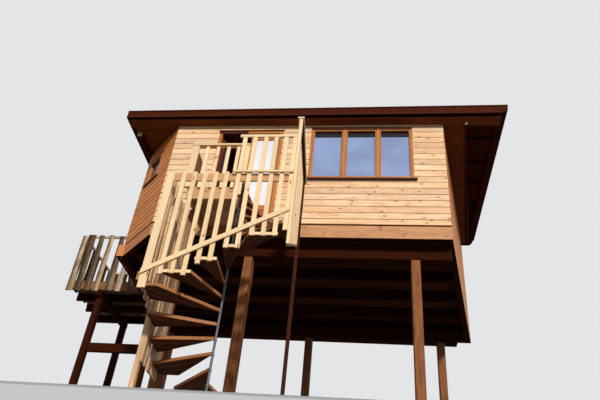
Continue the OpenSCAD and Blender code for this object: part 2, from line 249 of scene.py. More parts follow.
# soffit: the roof stain lightened as painted bounce light under the eave
SOFFIT_PAINTED_LIGHT = wood("soffit_stained_painted_light", (230, 128, 64), (190, 94, 42), knot=(30, 12, 6), tone=0.16, knots=0.3, ring=0.4, fibre=0.35, rough=0.8, spec=0.08, dirt_and_shade=(14, 6, 4))
TAN = wood("tan_pine", (206, 156, 110), (170, 120, 78), knot=(96, 56, 28), tone=0.1, knots=0.4, ring=0.45, fibre=0.4)
BROWN = wood("brown_pine", (134, 88, 56), (98, 60, 34), knot=(56, 30, 14), tone=0.1, knots=0.3, ring=0.5, fibre=0.5, rough=0.75, spec=0.2)
TREAD_END = wood("tread_end", (152, 106, 66), (118, 78, 46), tone=0.1, knots=0.0, ring=0.5, fibre=0.5)
POLE_DARK_TOP = wood("pole_dark_top", (66, 36, 24), (44, 24, 16), tone=0.04, knots=0.0, ring=0.2, fibre=0.3, rough=0.55)
LIP = wood("lip_stained", (84, 36, 20), (60, 24, 12), tone=0.06, knots=0.0, ring=0.3, fibre=0.3, rough=0.7, spec=0.15)
SCREEN = wood("screen_pine", (242, 214, 170), (218, 182, 134), knot=(140, 84, 44), tone=0.08, warm=(255, 240, 220), knots=0.4, ring=0.4, fibre=0.35, dirt_and_shade=(120, 74, 38), dirt_and_shade_k=0.5)
SHADED = wood("shaded_pine", (212, 172, 128), (166, 124, 84), knot=(84, 50, 26), tone=0.18, knots=0.45, ring=0.5, fibre=0.4, patch=0.3, patch_col=(150, 118, 86))
TREAD = wood("tread_timber", (178, 114, 64), (134, 78, 40), knot=(60, 30, 12), tone=0.12, knots=0.35, ring=0.6, fibre=0.5, dirt_and_shade=(40, 18, 8))
# tread undersides darkened: painted shade under the treads
BELOW_PAINTED_SHADE = wood("tread_underside_painted_shade", (104, 56, 32), (72, 36, 20), knot=(34, 18, 10), tone=0.16, knots=0.3, ring=0.4, fibre=0.4, rough=0.8, spec=0.15, dirt_and_shade=(22, 10, 6))
POST = wood("post_timber", (144, 90, 50), (98, 55, 28), knot=(52, 26, 12), tone=0.1, knots=0.35, ring=0.65, fibre=0.6, rough=0.78, spec=0.2, bump=0.4, dirt_and_shade=(50, 26, 14))
DARK_POST = wood("dark_post", (66, 30, 14), (46, 20, 9), tone=0.06, knots=0.2, ring=0.5, fibre=0.5, rough=0.8, spec=0.08)
# dark timber as painted shade: beams, joists, rim undersides, the core behind the cladding, deck frame, a strip under
# the right handrail
BEAM_PAINTED_SHADE = wood("beam_timber", (58, 24, 8), (38, 15, 5), knot=(24, 12, 6), tone=0.14, knots=0.3, ring=0.5, fibre=0.5, rough=0.85, spec=0.03, bump=0.35, dirt_and_shade=(22, 9, 4))
# cabin floor boards darkened: painted shade under the cabin
FLOOR_PAINTED_SHADE = wood("floor_boards", (118, 60, 27), (84, 41, 17), tone=0.2, knots=0.4, ring=0.45, fibre=0.4, rough=0.8, spec=0.08, dirt_and_shade=(24, 11, 5))
SLAB = wood("slab_weathered", (114, 94, 72), (74, 58, 40), knot=(56, 40, 26), tone=0.22, warm=(236, 210, 182), knots=0.4, ring=0.6, fibre=0.7, rough=0.85, spec=0.15, bump=0.5, patch=0.55, patch_col=(170, 146, 112), dirt_and_shade=(46, 30, 20), dirt_and_shade_k=0.9)
SLAB_MIXED = wood("slab_half_fresh", (176, 150, 118), (112, 88, 62), knot=(70, 46, 30), tone=0.15, knots=0.4, ring=0.6, fibre=0.6, rough=0.8, spec=0.15, bump=0.5, patch=0.85, patch_col=(218, 196, 162), dirt_and_shade=(60, 40, 26), dirt_and_shade_k=0.8)
SLAB_PALE = wood("slab_fresh", (206, 190, 166), (168, 146, 116), knot=(100, 66, 40), tone=0.1, knots=0.5, ring=0.5, fibre=0.6, rough=0.75, spec=0.2, bump=0.4, dirt_and_shade=(110, 80, 52), dirt_and_shade_k=0.7)
STEEL = steel("dull_steel", (80, 84, 90), 0.55)
SCREWS = steel("screw_heads", (120, 116, 108), 0.45)
# pane colours are painted reflection: the window pane a pale blue sky, the door pane a white sky; the band is the
# eave's painted dark reflection and shade
PANE = glass("window_pane", (146, 164, 202), 0.94, 0.35)
PANE_DARK = glass("small_pane", (60, 58, 74), 0.9, 0.6)
PANE_PAINTED_REFLECTION_BAND = glass("window_painted_reflection_band", (30, 20, 18), 0.97, 0.1)
DOOR_PANE = glass("door_pane", (238, 240, 248), 0.95, 0.2)
FELT = felt("roof_felt")


# ------------------------------------------------------------------ mesh building, millimetres in, metres out
class MB:
    def __init__(s):
        s.v, s.f, s.g, s.t, s.d, s.m = [], [], [], [], [], []

    def put(s, verts, faces, gco, tone, dirt_and_shade, mat):
        o = len(s.v)
        s.v += [tuple(c * 0.001 for c in v) for v in verts]
        s.g += gco
        s.t += [tone] * len(verts)
        s.d += dirt_and_shade
        s.f += [tuple(i + o for i in f) for f in faces]
        s.m += [mat] * len(faces)

    def done(s, name, mats, body="house", nodes=(), smooth=False):
        me = bpy.data.meshes.new(name)
        me.from_pydata(s.v, [], s.f)
        for m in mats:
            me.materials.append(m)
        me.polygons.foreach_set("material_index", s.m)
        me.attributes.new("gco", "FLOAT_VECTOR", "POINT").data.foreach_set("vector", [c for g in s.g for c in g])
        me.attributes.new("tone", "FLOAT", "POINT").data.foreach_set("value", s.t)
        me.attributes.new("dirt_and_shade", "FLOAT", "POINT").data.foreach_set("value", s.d)
        if smooth:
            me.polygons.foreach_set("use_smooth", [True] * len(me.polygons))
        me.validate()
        o = bpy.data.objects.new(name, me)
        scene.collection.objects.link(o)
        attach(o, body)
        if nodes:
            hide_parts(*nodes)
        return o


def inset(poly, b):
    """A polygon with each edge moved inward by b; counter-clockwise points."""
    n, out = len(poly), []
    for i in range(n):
        p0, p1, p2 = poly[i - 1], poly[i], poly[(i + 1) % n]
        e1, e2 = (p1[0] - p0[0], p1[1] - p0[1]), (p2[0] - p1[0], p2[1] - p1[1])
        l1, l2 = math.hypot(*e1) or 1, math.hypot(*e2) or 1
        n1, n2 = (-e1[1] / l1, e1[0] / l1), (-e2[1] / l2, e2[0] / l2)
        k = 1 + n1[0] * n2[0] + n1[1] * n2[1]
        k = max(k, 0.35)
        out.append((p1[0] + b * (n1[0] + n2[0]) / k, p1[1] + b * (n1[1] + n2[1]) / k))
    return out


def ccw(poly):
    a = sum(poly[i - 1][0] * poly[i][1] - poly[i][0] * poly[i - 1][1] for i in range(len(poly)))
    return poly if a > 0 else poly[::-1]


def clip(poly, nx, ny, c):
    """The part of a convex polygon where nx*x + ny*y <= c."""
    out = []
    for i in range(len(poly)):
        p, q = poly[i - 1], poly[i]
        dp, dq = nx * p[0] + ny * p[1] - c, nx * q[0] + ny * q[1] - c
        if dp <= 0:
            out.append(p)
        if (dp < 0 < dq) or (dq < 0 < dp):
            t = dp / (dp - dq)
            out.append((p[0] + t * (q[0] - p[0]), p[1] + t * (q[1] - p[1])))
    clean = []
    for p in out:
        if not clean or math.dist(p, clean[-1]) > 0.4:
            clean.append(p)
    if len(clean) > 1 and math.dist(clean[0], clean[-1]) <= 0.4:
        clean.pop()
    return clean


def loft(mb, rings, to_world, to_gco, tone=None, mat=0, dirt_and_shade=None, cap_mats=None):
    """Closed skin through rings of (x, y, z) points, each ring counter-clockwise seen from +x."""
    tone = rng.random() if tone is None else tone
    off = (rng.random() * 40, rng.random() * 40, rng.random() * 40)
    n = len(rings[0])
    verts, g, dd = [], [], []
    for ri, r in enumerate(rings):
        for pi, p in enumerate(r):
            verts.append(to_world(p))
            a = to_gco(p)
            g.append((a[0] * 0.001 + off[0], a[1] * 0.001 + off[1], a[2] * 0.001 + off[2]))
            dd.append(dirt_and_shade(ri, pi) if dirt_and_shade else 0.0)
    faces = []
    for k in range(len(rings) - 1):
        for i in range(n):
            j = (i + 1) % n
            faces.append((k * n + i, k * n + j, (k + 1) * n + j, (k + 1) * n + i))
    last = (len(rings) - 1) * n
    faces.append(tuple(reversed(range(n))))
    faces.append(tuple(range(last, last + n)))
    mb.put(verts, faces, g, tone, dd, mat)
    if cap_mats is not None:
        mb.m[-2:] = cap_mats


CYC = {0: lambda p: (p[0], p[1], p[2]), 1: lambda p: (p[2], p[0], p[1]), 2: lambda p: (p[1], p[2], p[0])}


def plank(mb, x0, x1, y0, y1, z0, z1, grain=0, bev=3.0, T=None, tone=None, mat=0, wob=0.0, edge=0.35):
    """A sawn piece in a box, its grain along one axis, with eased edges and, if asked, a little bow."""
    lo, hi = (x0, y0, z0), (x1, y1, z1)
    ax = {0: (0, 1, 2), 1: (1, 2, 0), 2: (2, 0, 1)}[grain]
    a0, a1 = lo[ax[0]], hi[ax[0]]
    u0, u1, w0, w1 = lo[ax[1]], hi[ax[1]], lo[ax[2]], hi[ax[2]]
    b = min(bev, 0.3 * min(u1 - u0, w1 - w0, a1 - a0))
    sec = [(u0 + b, w0), (u1 - b, w0), (u1, w0 + b), (u1, w1 - b), (u1 - b, w1), (u0 + b, w1), (u0, w1 - b), (u0, w0 + b)]
    small = inset(sec, b)
    stations = [(a0, small), (a0 + b, sec)]
    cuts = max(1, int((a1 - a0) / 500)) if wob else 1
    stations += [(a0 + (a1 - a0) * i / cuts, sec) for i in range(1, cuts)]
    stations += [(a1 - b, sec), (a1, small)]
    ph1, ph2 = rng.random() * 6.3, rng.random() * 6.3

    def bow(a):
        t = (a - a0) / max(1.0, a1 - a0)
        return wob * math.sin(math.pi * t) * math.sin(ph1), wob * math.sin(math.pi * t) * math.sin(ph2)

    rings = []
    for a, sc in stations:
        du, dw = bow(a) if wob else (0, 0)
        rings.append([(a, u + du, w + dw) for u, w in sc])
    wide = (u1 - u0) >= (w1 - w0)

    def world(p):
        q = CYC[grain](p)
        if T is None:
            return q
        q = T @ Vector(q)
        return (q.x, q.y, q.z)

    loft(mb, rings, world, (lambda p: (p[0], p[1], p[2])) if wide else (lambda p: (p[0], p[2], p[1])), tone, mat,
         dirt_and_shade=lambda r, i: edge if r in (0, len(rings) - 1) else 0.0)


def flat(mb, poly, z0, z1, bev=2.0, along=(1, 0), tone=None, mat=0, edge=0.3, low_mat=None, T=None, side_mat=None):
    """A flat board cut to a polygon in plan, grain along a plan direction."""
    poly = ccw(poly)
    if len(poly) < 3:
        return
    b = min(bev, (z1 - z0) * 0.3)
    small = inset(poly, b)
    rings = [[(z0, x, y) for x, y in small], [(z0 + b, x, y) for x, y in poly], [(z1 - b, x, y) for x, y in poly], [(z1, x, y) for x, y in small]]

    def world(p):
        q = (p[1], p[2], p[0])
        if T is None:
            return q
        q = T @ Vector(q)
        return (q.x, q.y, q.z)

    loft(mb, rings, world, lambda p: (p[1] * along[0] + p[2] * along[1], -p[1] * along[1] + p[2] * along[0], p[0]), tone, mat,
         dirt_and_shade=lambda r, i: edge if r in (0, 3) else 0.0, cap_mats=None if low_mat is None else [low_mat, mat])
    if side_mat:
        n = len(poly)
        base = len(mb.m) - 2 - 3 * n
        for i in range(n):
            q = side_mat(poly[i], poly[(i + 1) % n])
            if q is not None:
                for k in range(3):
                    mb.m[base + k * n + i] = q


def screws(mb, pts, normal, r=4.5, mat=0):
    """Flat screw heads with a small recess."""
    n = Vector(normal).normalized()
    u = n.orthogonal().normalized()
    w = n.cross(u)
    for p in pts:
        p = Vector(p)
        rings = []
        for rad, h in ((r, -1.0), (r, 0.5), (r * 0.8, 1.1), (r * 0.35, 1.1), (r * 0.2, 0.2)):
            rings.append([p + n * h + (u * math.cos(a) + w * math.sin(a)) * rad for a in (i * math.pi / 4 for i in range(8))])
        loft(mb, [[tuple(q) for q in ring] for ring in rings], lambda q: q, lambda q: q, 0.5, mat)


# ------------------------------------------------------------------ driving numbers of the part
floor_z, wall_top, wt, rim_h = 3596.0, 5915.0, 110.0, 246.0
rim_z = floor_z - rim_h
S9, C9, T9 = math.sin(math.radians(11.5)), math.cos(math.radians(11.5)), math.tan(math.radians(11.5))
fy, ry, lx, fx0, fx1, cy = -1085.0, 2915.0, -2720.0, -1920.0, 3152.0, -285.0
rx = fx1 + (ry - fy) * T9
rise = 3568.0 / 19
tread_t = 45.0
EDGE = [82, 107, 131, 155.5, 177.5, 199.5, 225.5, 247.5, 272, 293.5, 318.5, 336, 357.5, 381, 405.5, 429.5, 453, 469.5]
WEDGE = [26, 26, 26, 26, 26, 26, 26, 23.5, 23.5, 17.5, 19, 16, 26, 26, 26, 26, 26, 26]
px_, py_ = -26.0, -2490.0
wy0, wy1, skew = -3140.0, -1725.0, 0.0636
wl = lambda y: -840 - skew * (y - wy0)
wr = lambda y: 826 - skew * (y - wy0)
under = lambda k: k * rise - tread_t
O = [(fx0, fy), (fx1, fy), (rx, ry), (lx, ry), (lx, cy)]
# how fast a wall's end runs in along the wall for each mm of depth, at its start and end
K = {"front": (0.4142, math.tan(math.radians(39.25))), "right": (math.tan(math.radians(39.25)), math.tan(math.radians(50.75))),
     "rear": (math.tan(math.radians(50.75)), 1.0), "left": (1.0, 0.4142), "chamfer": (0.4142, 0.4142)}


# ------------------------------------------------------------------ walls
def wall_frame(P, Q):
    d = Vector((Q[0] - P[0], Q[1] - P[1], 0))
    L = d.length
    d.normalize()
    m = Vector((-d.y, d.x, 0))
    return L, lambda p: (P[0] + d.x * p[0] + m.x * p[1], P[1] + d.y * p[0] + m.y * p[1], p[2])


def spans(lo, hi, za, zb, holes):
    """Parts of the strip [lo, hi] x [za, zb] that no hole takes, as (s0, s1, z0, z1)."""
    cuts = sorted({lo, hi, *[c for h in holes for c in h[:2] if lo < c < hi]})
    out = []
    for a, b in zip(cuts, cuts[1:]):
        zs = [(za, zb)]
        for h in holes:
            if h[0] < (a + b) / 2 < h[1]:
                zs = [(u, v) for z0, z1 in zs for u, v in ((z0, min(z1, h[2])), (max(z0, h[3]), z1)) if v - u > 2]
        for z0, z1 in zs:
            if out and out[-1][1] == a and out[-1][2:] == (z0, z1):
                out[-1] = (out[-1][0], b, z0, z1)
            else:
                out.append((a, b, z0, z1))
    return out


def clad_wall(name, P, Q, ends, holes, mat, nodes, nails=True, groove=9, foot=0):
    L, W = wall_frame(P, Q)
    mb = MB()
    k0, k1 = ends
    step = 132.5
    z, course = floor_z, 0
    while z < wall_top - 3:
        zt = min(z + step, wall_top)
        zb = z + (foot if course == 0 else 0)
        joints, s = [], -rng.random() * 2600
        while s < L:
            s += 2600 + rng.random() * 1700
            if 260 < s < L - 260:
                joints.append(s)
        tone_of = {}
        for a, b, z0, z1 in spans(0.0, L, zb, zt, holes):
            edges = [a] + [j for j in joints if a + 30 < j < b - 30] + [b]
            for e0, e1 in zip(edges, edges[1:]):
                key = sum(1 for j in joints if j < (e0 + e1) / 2)
                tone = tone_of.setdefault(key, rng.random())
                g0 = e0 + (0.8 if e0 in joints else 0.0)
                g1 = e1 - (0.8 if e1 in joints else 0.0)
                low = z0 == zb
                top = z1 == zt
                out = rng.random() * 1.2
                pr = [(20, z0), (11, z0), (out, z0 + groove), (out, z1 - (5 if top else 0)), (9 if top else 20 - 0.1, z1), (20, z1)]
                if not low:
                    pr = [(20, z0), (out, z0), (out, z1 - (5 if top else 0)), (9 if top else 19.9, z1), (20, z1)]
                # groove and board-edge vertices marked darker: dirt and painted groove shade
                di = [1, 1, 0, 0, 1, 1] if low else [0.6, 0.0, 0, 1, 1]
                ka = k0 if g0 == 0.0 else 0.0
                kb = k1 if g1 == L else 0.0
                r0 = [(g0 + ka * y, y, zz) for y, zz in pr]
                r1 = [(g1 - kb * y, y, zz) for y, zz in pr]
                # seen from +s the section runs clockwise as listed, so it is reversed
                loft(mb, [r0[::-1], r1[::-1]], W, lambda p: (p[0], p[2], p[1]), tone, 0, dirt_and_shade=lambda r, i, di=di[::-1]: di[i])
        z += step
        course += 1
    # studs and boards behind the cladding, in dark timber as painted shade in the gaps and at the foot, then the lining
    # of the room
    for a, b, z0, z1 in spans(0.0, L, floor_z, wall_top, holes):
        ka, kb = (k0 if a == 0 else 0), (k1 if b == L else 0)
        for y0, y1, m in ((20, 99, 2),):
            r0 = [(a + ka * y, y, zz) for y, zz in ((y0, z0), (y1, z0), (y1, z1), (y0, z1))]
            r1 = [(b - kb * y, y, zz) for y, zz in ((y0, z0), (y1, z0), (y1, z1), (y0, z1))]
            loft(mb, [r0, r1], W, lambda p: (p[0], p[2], p[1]), 0.5, m)
    z = floor_z
    while z < wall_top - 3:
        zt = min(z + 110, wall_top)
        for a, b, z0, z1 in spans(0.0, L, z, zt, holes):
            ka, kb = (k0 if a == 0 else 0), (k1 if b == L else 0)
            pr = [(99, z0), (107, z0), (110, z0 + 3), (110, z1 - 3), (107, z1), (99, z1)]
            loft(mb, [[(a + ka * y, y, zz) for y, zz in pr], [(b - kb * y, y, zz) for y, zz in pr]], W, lambda p: (p[0], p[2], p[1]), None, 1)
        z += 110
    o = mb.done(name, [mat, LINING, BEAM_PAINTED_SHADE], "house", nodes)
    if nails:
        nb = MB()
        u = Vector(W((1, 0, 0))) - Vector(W((0, 0, 0)))
        nrm = (u.y, -u.x, 0)
        z = floor_z
        while z < wall_top - 60:
            s = 45.0
            while s < L - 20:
                if not any(h[0] - 8 < s < h[1] + 8 and h[2] - 8 < z + 45 < h[3] + 8 for h in holes):
                    screws(nb, [W((s + rng.uniform(-3, 3), 0.2, z + 42 + rng.uniform(-2, 2)))], nrm, 3.2)
                s += 598.0
            z += step
        nb.done(name + "_nails", [SCREWS], "house", ())
    return o


dx0, dx1, dz1 = -1070.0, 180.0, 5760.0
wx0, wx1, wz0, wz1 = 710.0, 2590.0, 4596.0, 5830.0
front_holes = [(dx0 - fx0, dx1 - fx0, floor_z - 1, dz1), (wx0 - fx0, wx1 - fx0, wz0, wz1)]
clad_wall("front_wall_boards", O[0], O[1], K["front"], front_holes, CLAD, ("front_wall_left", "door_header", "front_wall_right"), foot=24)
clad_wall("right_wall_boards", O[1], O[2], K["right"], [], CLAD_WARM, ("right_wall",))
clad_wall("rear_wall_boards", O[2], O[3], K["rear"], [], CLAD, ("rear_wall",))
clad_wall("left_wall_boards", O[3], O[4], K["left"], [], CLAD_WARM, ("left_wall",))
Lc = math.dist(O[4], O[0])
cwa, cwb, cwz0, cwz1 = 470.0, 990.0, 4945.0, 5545.0
clad_wall("chamfer_wall_boards", O[4], O[0], K["chamfer"], [(Lc - cwb, Lc - cwa, cwz0, cwz1)], CLAD_WARM, ("chamfer_wall",), groove=15, foot=24)


def rim(name, P, Q, ends, node, mat):
    L, W = wall_frame(P, Q)
    mb = MB()
    b = 4
    pr = ccw([(b, rim_z), (wt - b, rim_z), (wt, rim_z + b), (wt, floor_z - b - 2), (wt - b, floor_z - 2), (b, floor_z - 2), (0, floor_z - b - 2), (0, rim_z + b)])
    k0, k1 = ends
    loft(mb, [[(k0 * y, y, z) for y, z in pr], [(L - k1 * y, y, z) for y, z in pr]], W, lambda p: (p[0], p[2], p[1]), None, 0)
    # underside, lower bevel and inner face in the dark timber: painted shade under the rim
    mb.m[-10:-7] = [1, 1, 1]
    mb.done(name, [mat, BEAM_PAINTED_SHADE], "house", (node,))


rim("front_rim", O[0], O[1], K["front"], "front_rim_beam", RIM)
rim("right_rim", O[1], O[2], K["right"], "right_rim_beam", RIM)
rim("rear_rim", O[2], O[3], K["rear"], "rear_rim_beam", RIM)
rim("chamfer_rim", O[4], O[0], K["chamfer"], "chamfer_rim_beam", RIM_WARM)
mb = MB()
# undersides and inner faces in the dark timber: painted shade under the rim
flat(mb, [(lx - 55, cy - 80), (lx + 78, cy - 80), (lx, cy - 2), (lx, ry), (lx - 55, ry)], rim_z, floor_z - 2, 4, (0, 1), low_mat=1)
flat(mb, [(lx, ry), (lx, cy), (lx + wt, cy + wt * 0.4142), (lx + wt, ry - wt)], rim_z, floor_z - 2, 2, (0, 1), low_mat=1, side_mat=lambda a, b: 1 if min(a[0], b[0]) > lx + 50 else None)
mb.done("left_rim", [RIM_WARM, BEAM_PAINTED_SHADE], "house", ("left_rim_beam",))

# ------------------------------------------------------------------ under the cabin
mb = MB()
for x, y in ((-148, -775), (2600, -775), (-2400, 2400), (600, 2400), (3300, 2400)):
    plank(mb, x - 107, x + 38, y - 110, y + 110, 0, rim_z - 270, 2, 9)
mb.done("posts", [POST], "house", ("ground_posts",))
# main beams in the dark timber: painted shade under the cabin
mb = MB()
plank(mb, -1900, 3150, -885, -665, rim_z - 270, rim_z, 0, 7)
plank(mb, -2700, 3600, 2290, 2510, rim_z - 270, rim_z, 0, 7)
mb.done("main_beam_timbers", [BEAM_PAINTED_SHADE], "house", ("main_beams",))


def inner_x(y):
    left = lx + wt if y >= cy + wt * 0.4142 else -1874.4 - (y + 975)
    return left, 3062 + (y + 975) * T9


# floor joists in the dark timber: painted shade under the cabin
mb = MB()
for i in range(5):
    y = -445 + 740 * i
    a = max(inner_x(y)[0], inner_x(y + 60)[0])
    plank(mb, a + 1, inner_x(y)[1] - 1, y, y + 60, rim_z, floor_z - 30, 0, 3)
mb.done("floor_joist_timbers", [BEAM_PAINTED_SHADE], "house", ("floor_joists",))
plan_in = [(fx0 + wt * 0.4142, fy + wt), (fx1 - wt * K["front"][1], fy + wt), (rx - wt * (1 + S9) / C9, ry - wt), (lx + wt, ry - wt), (lx + wt, cy + wt * 0.4142)]
mb = MB()
x = -2610.0
while x < 3690:
    p = clip(clip(plan_in, 1, 0, x + 137), -1, 0, -x)
    if len(p) > 2:
        flat(mb, p, floor_z - 30, floor_z, 3, (0, 1), edge=0.8)
    x += 140
mb.done("cabin_floor_boards", [FLOOR_PAINTED_SHADE], "house", ("cabin_floor",))

# ------------------------------------------------------------------ windows
mb = MB()
f0 = fy - 6
# outer casing, set a little in front of the boards, then two posts between the lights
plank(mb, wx0, wx1, f0, fy + wt, wz1 - 38, wz1 - 16, 0, 3, mat=1, edge=0.2)
plank(mb, wx0, wx1, f0 - 4, fy + wt, wz1 - 16, wz1, 0, 3, mat=1, edge=0.2)
plank(mb, wx0, wx1, f0, fy + wt, wz0 + 6, wz0 + 42, 0, 3, mat=0, edge=0.2)
plank(mb, wx0, wx0 + 38, f0, fy + wt, wz0 + 42, wz1 - 38, 2, 3, mat=0, edge=0.2)
plank(mb, wx1 - 38, wx1, f0, fy + wt, wz0 + 42, wz1 - 38, 2, 3, mat=0, edge=0.2)
w3 = (wx1 - wx0 - 340) / 3
for i in range(3):
    x = wx0 + 65 + i * (w3 + 105)
    # each light's own sash
    a0, a1 = x - 26, x + w3 + 26
    plank(mb, a0, a1, fy + 8, fy + 92, wz1 - 66, wz1 - 39, 0, 3, mat=0, edge=0.2)
    plank(mb, a0, a1, fy + 8, fy + 92, wz0 + 43, wz0 + 66, 0, 3, mat=0, edge=0.2)
    plank(mb, a0, x + 1, fy + 8, fy + 92, wz0 + 66, wz1 - 66, 2, 3, mat=0, edge=0.2)
    plank(mb, x + w3 - 1, a1, fy + 8, fy + 92, wz0 + 66, wz1 - 66, 2, 3, mat=0, edge=0.2)
    if i < 2:
        plank(mb, x + w3 + 27, x + w3 + 78, f0 + 3, fy + wt, wz0 + 42, wz1 - 38, 2, 3, mat=0, edge=0.2)
# sill with a drip edge, the drip dark as painted shadow under the sill, and a dark head strip over the casing
plank(mb, wx0 - 35, wx1 + 55, fy - 45, fy + 20, wz0 - 8, wz0 + 6, 0, 3)
plank(mb, wx0 - 35, wx1 + 48, fy - 43, fy + 2, wz0 - 32, wz0 - 8, 0, 3, mat=1)
plank(mb, wx0 - 8, wx1 + 8, fy - 14, fy + 2, wz1 - 2, wz1 + 16, 0, 2, mat=1)
mb.done("window_joinery", [JOIN, JOIN_DARK_PAINTED_SHADE], "house", ("window_frame",))

TC = Matrix.Translation(Vector((fx0, fy, 0))) @ Matrix.Rotation(math.radians(135), 4, "Z")
mb = MB()
# along the chamfer wall the local x runs from the front corner, and local y points out of the wall
plank(mb, cwa, cwb, -wt, 8, cwz1 - 55, cwz1, 0, 3, TC)
plank(mb, cwa, cwb, -wt, 8, cwz0, cwz0 + 55, 0, 3, TC)
plank(mb, cwa, cwa + 55, -wt, 8, cwz0 + 55, cwz1 - 55, 2, 3, TC)
plank(mb, cwb - 55, cwb, -wt, 8, cwz0 + 55, cwz1 - 55, 2, 3, TC)
plank(mb, cwa - 25, cwb + 25, -4, 26, cwz0 - 24, cwz0 + 4, 0, 3, TC, mat=1)
plank(mb, cwa - 10, cwb + 10, -4, 18, cwz1 - 2, cwz1 + 20, 0, 3, TC, mat=1)
mb.done("chamfer_window_joinery", [JOIN, JOIN_DARK_PAINTED_SHADE], "house", ("chamfer_window_frame",))

# ------------------------------------------------------------------ door
mb = MB()
plank(mb, dx0, dx0 + 60, fy - 6, fy + wt, floor_z, dz1 - 60, 2, 3)
plank(mb, dx1 - 60, dx1, fy - 6, fy + wt, floor_z, dz1 - 60, 2, 3)
# left half of the door head dark: painted shadow
plank(mb, dx0, dx0 + 560, fy - 6, fy + wt, dz1 - 60, dz1, 0, 3, mat=1)
plank(mb, dx0 + 560, dx1, fy - 6, fy + wt, dz1 - 60, dz1, 0, 3)
plank(mb, dx0 - 12, dx1 + 12, fy - 22, fy + 2, dz1 - 4, dz1 + 22, 0, 3, mat=1)
mb.done("door_joinery", [JOIN, JOIN_DARK_PAINTED_SHADE], "house", ("door_frame",))
ll0, ll1, rl0, rl1 = -1005.0, -450.0, -440.0, 115.0
lz0, lz1, ly0 = floor_z + 10, 5695.0, -1025.0
hx, hy = dx0 + 62, ly0 + 50
SW = Matrix.Translation(Vector((hx, hy, 0))) @ Matrix.Rotation(math.radians(90), 4, "Z") @ Matrix.Translation(Vector((-hx, -hy, 0)))


def leaf(name, x0, x1, T, body, node, handle_x):
    mb = MB()
    y0, y1 = ly0, ly0 + 45
    plank(mb, x0, x0 + 90, y0, y1, lz0, lz1, 2, 3, T, edge=0.2)
    plank(mb, x1 - 90, x1, y0, y1, lz0, lz1, 2, 3, T, edge=0.2)
    plank(mb, x0 + 90, x1 - 90, y0 + 1, y1 - 1, lz1 - 95, lz1, 0, 3, T, edge=0.2)
    plank(mb, x0 + 90, x1 - 90, y0 + 1, y1 - 1, lz0 + 340, lz0 + 430, 0, 3, T, edge=0.2)
    plank(mb, x0 + 90, x1 - 90, y0 + 1, y1 - 1, lz0, lz0 + 110, 0, 3, T, edge=0.2)
    # lower panel: three upright boards set back between the rails
    w = (x1 - x0 - 180) / 3
    for i in range(3):
        plank(mb, x0 + 90 + i * w + 0.6, x0 + 90 + (i + 1) * w - 0.6, y0 + 14, y1 - 14, lz0 + 110, lz0 + 340, 2, 4, T, edge=0.5)
    # glazing beads
    for a, b, c, d, g in ((x0 + 90, x1 - 90, lz0 + 430, lz0 + 442, 0), (x0 + 90, x1 - 90, lz1 - 107, lz1 - 95, 0)):
        plank(mb, a, b, y0 + 5, y0 + 17, c, d, g, 2, T)
        plank(mb, a, b, y1 - 16, y1 - 5, c, d, g, 2, T)
    for a, b in ((x0 + 90, x0 + 102), (x1 - 102, x1 - 90)):
        plank(mb, a, b, y0 + 5, y0 + 17, lz0 + 442, lz1 - 107, 2, 2, T)
        plank(mb, a, b, y1 - 16, y1 - 5, lz0 + 442, lz1 - 107, 2, 2, T)
    # the open left leaf in the darker red-brown: painted shade
    mb.done(name, [JOIN if handle_x else LEAF_PAINTED_SHADE], body, (node,))
    if handle_x is None:
        return
    hb = MB()
    zc = lz0 + 1010
    plank(hb, handle_x - 18, handle_x + 18, y0 - 5, y0 + 1, zc - 110, zc + 60, 2, 2.5, T)
    ring = lambda cx, yy, r: [(cx + r * math.cos(a), yy, zc + r * math.sin(a)) for a in (i * math.pi / 8 for i in range(16))]
    tw = (lambda p: p) if T is None else (lambda p: tuple(T @ Vector(p)))
    loft(hb, [ring(handle_x, yy, r) for yy, r in ((y0 - 3, 11), (y0 - 22, 9.5), (y0 - 36, 9.5), (y0 - 40, 7))], tw, lambda p: p, 0.5, 0)
    plank(hb, handle_x - 9, handle_x + 118, y0 - 40, y0 - 26, zc - 8, zc + 8, 0, 4.5, T)
    hb.done(name + "_handle", [STEEL], body)


leaf("left_leaf_joinery", ll0, ll1, SW, "left_leaf", "left_door_leaf", None)
leaf("right_leaf_joinery", rl0, rl1, None, "right_leaf", "right_door_leaf", rl0 + 45)
N["left_door_glass"].data.materials.clear()
N["left_door_glass"].data.materials.append(PANE)
mb = MB()
for i in range(3):
    x = wx0 + 65 + i * (w3 + 105)
    # the top of each light carries a dark band: painted reflection of the eave and painted shade under it
    plank(mb, x - 4, x + w3 + 4, fy + 45, fy + 57, wz0 + 61, wz1 - 202, 2, 1)
    plank(mb, x - 4, x + w3 + 4, fy + 45, fy + 57, wz1 - 202, wz1 - 61, 2, 1, mat=1)
mb.done("front_window_panes", [PANE, PANE_PAINTED_REFLECTION_BAND], "house", ("window_glass",))
mb = MB()
plank(mb, cwa + 52, cwb - 52, -57, -45, cwz0 + 52, cwz1 - 52, 2, 1, TC)
mb.done("chamfer_window_pane", [PANE_DARK], "house", ())
# the door pane's white: painted reflection of a bright sky
N["right_door_glass"].data.materials.clear()
N["right_door_glass"].data.materials.append(DOOR_PANE)

